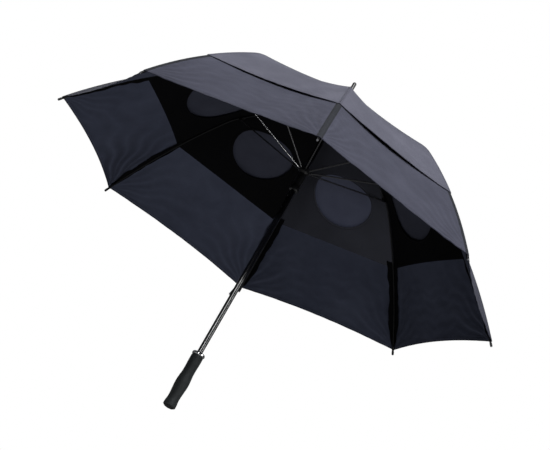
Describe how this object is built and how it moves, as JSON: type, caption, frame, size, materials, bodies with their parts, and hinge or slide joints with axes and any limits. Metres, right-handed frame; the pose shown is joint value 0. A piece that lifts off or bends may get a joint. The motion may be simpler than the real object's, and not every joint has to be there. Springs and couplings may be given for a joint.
{
  "type": "golf umbrella",
  "caption": "Golf umbrella with a vented double canopy, straight foam grip, sliding runner and hinged ribs and stretchers that fold along the shaft.",
  "frame": {"origin": "centre of the grip's bottom face", "axes": "+Z along the shaft towards the ferrule, +X along the first rib"},
  "size_m": [1.2412, 1.2412, 0.981],
  "materials": {
    "shaft_black": "gloss black coating",
    "foam": "matte closed-cell foam",
    "black_plastic": "moulded, satin",
    "chrome": "polished",
    "wire": "drawn",
    "rib_black": "pultruded fibreglass, black",
    "tip_grey": "moulded, light grey",
    "stretcher_black": "satin black",
    "canopy_lower": "woven polyester, navy band and black vent panel",
    "canopy_upper": "woven polyester, slate navy",
    "strap": "woven polyester",
    "spring_steel": "spring steel"
  },
  "bodies": {
    "shaft_group": {"shaft": "shaft_black", "grip": "foam", "grip_cap": "black_plastic", "collar": "chrome", "crown": "black_plastic", "crown_wire": "wire", "ferrule": "black_plastic"},
    "top_catch": {"top_catch": "spring_steel"},
    "bottom_catch": {"bottom_catch": "spring_steel"},
    "rib_inner_1": {"rib_inner_1": "rib_black", "top_gore_1": "canopy_upper"},
    "rib_outer_1": {"rib_outer_1": "rib_black", "rib_tip_1": "tip_grey", "lower_gore_1": "canopy_lower"},
    "stretcher_1": {"stretcher_1": "stretcher_black"},
    "rib_inner_2": {"rib_inner_2": "rib_black", "top_gore_2": "canopy_upper"},
    "rib_outer_2": {"rib_outer_2": "rib_black", "rib_tip_2": "tip_grey", "lower_gore_2": "canopy_lower"},
    "stretcher_2": {"stretcher_2": "stretcher_black"},
    "rib_inner_3": {"rib_inner_3": "rib_black", "top_gore_3": "canopy_upper"},
    "rib_outer_3": {"rib_outer_3": "rib_black", "rib_tip_3": "tip_grey", "lower_gore_3": "canopy_lower"},
    "stretcher_3": {"stretcher_3": "stretcher_black"},
    "rib_inner_4": {"rib_inner_4": "rib_black", "top_gore_4": "canopy_upper"},
    "rib_outer_4": {"rib_outer_4": "rib_black", "rib_tip_4": "tip_grey", "lower_gore_4": "canopy_lower"},
    "stretcher_4": {"stretcher_4": "stretcher_black"},
    "rib_inner_5": {"rib_inner_5": "rib_black", "top_gore_5": "canopy_upper"},
    "rib_outer_5": {"rib_outer_5": "rib_black", "rib_tip_5": "tip_grey", "lower_gore_5": "canopy_lower"},
    "stretcher_5": {"stretcher_5": "stretcher_black"},
    "rib_inner_6": {"rib_inner_6": "rib_black", "top_gore_6": "canopy_upper"},
    "rib_outer_6": {"rib_outer_6": "rib_black", "rib_tip_6": "tip_grey", "lower_gore_6": "canopy_lower"},
    "stretcher_6": {"stretcher_6": "stretcher_black"},
    "rib_inner_7": {"rib_inner_7": "rib_black", "top_gore_7": "canopy_upper"},
    "rib_outer_7": {"rib_outer_7": "rib_black", "rib_tip_7": "tip_grey", "lower_gore_7": "canopy_lower", "tie_strap": "strap"},
    "stretcher_7": {"stretcher_7": "stretcher_black"},
    "rib_inner_8": {"rib_inner_8": "rib_black", "top_gore_8": "canopy_upper"},
    "rib_outer_8": {"rib_outer_8": "rib_black", "rib_tip_8": "tip_grey", "lower_gore_8": "canopy_lower"},
    "stretcher_8": {"stretcher_8": "stretcher_black"},
    "runner": {"runner": "black_plastic", "runner_wire": "wire"}
  },
  "joints": [
    {"name": "canopy_fold", "type": "hinge", "parent": "shaft_group", "child": "rib_inner_1", "pos_m": [0.012, 0, 0.941], "axis": [0, 1, 0], "range_deg": [0, 66], "deforming": ["lower_gore_1", "lower_gore_2", "lower_gore_3", "lower_gore_4", "lower_gore_5", "lower_gore_6", "lower_gore_7", "lower_gore_8", "top_gore_1", "top_gore_2", "top_gore_3", "top_gore_4", "top_gore_5", "top_gore_6", "top_gore_7", "top_gore_8", "tie_strap", "top_catch", "bottom_catch"]},
    {"name": "rib_fold_2", "type": "hinge", "parent": "shaft_group", "child": "rib_inner_2", "pos_m": [0.00849, 0.00849, 0.941], "axis": [-0.7071, 0.7071, 0], "range_deg": [0, 66]},
    {"name": "rib_fold_3", "type": "hinge", "parent": "shaft_group", "child": "rib_inner_3", "pos_m": [0, 0.012, 0.941], "axis": [-1, 0, 0], "range_deg": [0, 66]},
    {"name": "rib_fold_4", "type": "hinge", "parent": "shaft_group", "child": "rib_inner_4", "pos_m": [-0.00849, 0.00849, 0.941], "axis": [-0.7071, -0.7071, 0], "range_deg": [0, 66]},
    {"name": "rib_fold_5", "type": "hinge", "parent": "shaft_group", "child": "rib_inner_5", "pos_m": [-0.012, 0, 0.941], "axis": [0, -1, 0], "range_deg": [0, 66]},
    {"name": "rib_fold_6", "type": "hinge", "parent": "shaft_group", "child": "rib_inner_6", "pos_m": [-0.00849, -0.00849, 0.941], "axis": [0.7071, -0.7071, 0], "range_deg": [0, 66]},
    {"name": "rib_fold_7", "type": "hinge", "parent": "shaft_group", "child": "rib_inner_7", "pos_m": [0, -0.012, 0.941], "axis": [1, 0, 0], "range_deg": [0, 66]},
    {"name": "rib_fold_8", "type": "hinge", "parent": "shaft_group", "child": "rib_inner_8", "pos_m": [0.00849, -0.00849, 0.941], "axis": [0.7071, 0.7071, 0], "range_deg": [0, 66]},
    {"name": "stretcher_pivot_1", "type": "hinge", "parent": "rib_inner_1", "child": "stretcher_1", "pos_m": [0.302, 0, 0.822], "axis": [0, 1, 0], "range_deg": [-132, 0]},
    {"name": "stretcher_pivot_2", "type": "hinge", "parent": "rib_inner_2", "child": "stretcher_2", "pos_m": [0.21355, 0.21355, 0.822], "axis": [-0.7071, 0.7071, 0], "range_deg": [-132, 0]},
    {"name": "stretcher_pivot_3", "type": "hinge", "parent": "rib_inner_3", "child": "stretcher_3", "pos_m": [0, 0.302, 0.822], "axis": [-1, 0, 0], "range_deg": [-132, 0]},
    {"name": "stretcher_pivot_4", "type": "hinge", "parent": "rib_inner_4", "child": "stretcher_4", "pos_m": [-0.21355, 0.21355, 0.822], "axis": [-0.7071, -0.7071, 0], "range_deg": [-132, 0]},
    {"name": "stretcher_pivot_5", "type": "hinge", "parent": "rib_inner_5", "child": "stretcher_5", "pos_m": [-0.302, 0, 0.822], "axis": [0, -1, 0], "range_deg": [-132, 0]},
    {"name": "stretcher_pivot_6", "type": "hinge", "parent": "rib_inner_6", "child": "stretcher_6", "pos_m": [-0.21355, -0.21355, 0.822], "axis": [0.7071, -0.7071, 0], "range_deg": [-132, 0]},
    {"name": "stretcher_pivot_7", "type": "hinge", "parent": "rib_inner_7", "child": "stretcher_7", "pos_m": [0, -0.302, 0.822], "axis": [1, 0, 0], "range_deg": [-132, 0]},
    {"name": "stretcher_pivot_8", "type": "hinge", "parent": "rib_inner_8", "child": "stretcher_8", "pos_m": [0.21355, -0.21355, 0.822], "axis": [0.7071, 0.7071, 0], "range_deg": [-132, 0]},
    {"name": "rib_flex_1", "type": "hinge", "parent": "rib_inner_1", "child": "rib_outer_1", "pos_m": [0.3039, 0, 0.82663], "axis": [0, 1, 0], "range_deg": [-17, 0]},
    {"name": "rib_flex_2", "type": "hinge", "parent": "rib_inner_2", "child": "rib_outer_2", "pos_m": [0.21489, 0.21489, 0.82663], "axis": [-0.7071, 0.7071, 0], "range_deg": [-17, 0]},
    {"name": "rib_flex_3", "type": "hinge", "parent": "rib_inner_3", "child": "rib_outer_3", "pos_m": [0, 0.3039, 0.82663], "axis": [-1, 0, 0], "range_deg": [-17, 0]},
    {"name": "rib_flex_4", "type": "hinge", "parent": "rib_inner_4", "child": "rib_outer_4", "pos_m": [-0.21489, 0.21489, 0.82663], "axis": [-0.7071, -0.7071, 0], "range_deg": [-17, 0]},
    {"name": "rib_flex_5", "type": "hinge", "parent": "rib_inner_5", "child": "rib_outer_5", "pos_m": [-0.3039, 0, 0.82663], "axis": [0, -1, 0], "range_deg": [-17, 0]},
    {"name": "rib_flex_6", "type": "hinge", "parent": "rib_inner_6", "child": "rib_outer_6", "pos_m": [-0.21489, -0.21489, 0.82663], "axis": [0.7071, -0.7071, 0], "range_deg": [-17, 0]},
    {"name": "rib_flex_7", "type": "hinge", "parent": "rib_inner_7", "child": "rib_outer_7", "pos_m": [0, -0.3039, 0.82663], "axis": [1, 0, 0], "range_deg": [-17, 0]},
    {"name": "rib_flex_8", "type": "hinge", "parent": "rib_inner_8", "child": "rib_outer_8", "pos_m": [0.21489, -0.21489, 0.82663], "axis": [0.7071, 0.7071, 0], "range_deg": [-17, 0]},
    {"name": "runner_pivot", "type": "hinge", "parent": "stretcher_1", "child": "runner", "pos_m": [0.012, 0, 0.703], "axis": [0, 1, 0], "range_deg": [0, 66]},
    {"name": "top_catch_press", "type": "hinge", "parent": "shaft_group", "child": "top_catch", "pos_m": [0.00351, 0.00145, 0.6093], "axis": [-0.3827, 0.9239, 0], "range_deg": [-6.2, 0], "stiffness_Nm_per_rad": 0.4},
    {"name": "bottom_catch_press", "type": "hinge", "parent": "shaft_group", "child": "bottom_catch", "pos_m": [0.00351, 0.00145, 0.35604], "axis": [-0.3827, 0.9239, 0], "range_deg": [0, 6.2], "stiffness_Nm_per_rad": 0.4}
  ],
  "couplings": [
    {"joint": "rib_fold_2", "follows": "canopy_fold", "ratio": 1},
    {"joint": "rib_fold_3", "follows": "canopy_fold", "ratio": 1},
    {"joint": "rib_fold_4", "follows": "canopy_fold", "ratio": 1},
    {"joint": "rib_fold_5", "follows": "canopy_fold", "ratio": 1},
    {"joint": "rib_fold_6", "follows": "canopy_fold", "ratio": 1},
    {"joint": "rib_fold_7", "follows": "canopy_fold", "ratio": 1},
    {"joint": "rib_fold_8", "follows": "canopy_fold", "ratio": 1},
    {"joint": "stretcher_pivot_1", "follows": "canopy_fold", "ratio": -2},
    {"joint": "stretcher_pivot_2", "follows": "canopy_fold", "ratio": -2},
    {"joint": "stretcher_pivot_3", "follows": "canopy_fold", "ratio": -2},
    {"joint": "stretcher_pivot_4", "follows": "canopy_fold", "ratio": -2},
    {"joint": "stretcher_pivot_5", "follows": "canopy_fold", "ratio": -2},
    {"joint": "stretcher_pivot_6", "follows": "canopy_fold", "ratio": -2},
    {"joint": "stretcher_pivot_7", "follows": "canopy_fold", "ratio": -2},
    {"joint": "stretcher_pivot_8", "follows": "canopy_fold", "ratio": -2},
    {"joint": "rib_flex_1", "follows": "canopy_fold", "ratio": -0.25364},
    {"joint": "rib_flex_2", "follows": "canopy_fold", "ratio": -0.25364},
    {"joint": "rib_flex_3", "follows": "canopy_fold", "ratio": -0.25364},
    {"joint": "rib_flex_4", "follows": "canopy_fold", "ratio": -0.25364},
    {"joint": "rib_flex_5", "follows": "canopy_fold", "ratio": -0.25364},
    {"joint": "rib_flex_6", "follows": "canopy_fold", "ratio": -0.25364},
    {"joint": "rib_flex_7", "follows": "canopy_fold", "ratio": -0.25364},
    {"joint": "rib_flex_8", "follows": "canopy_fold", "ratio": -0.25364},
    {"joint": "runner_pivot", "follows": "canopy_fold", "ratio": 1}
  ]
}
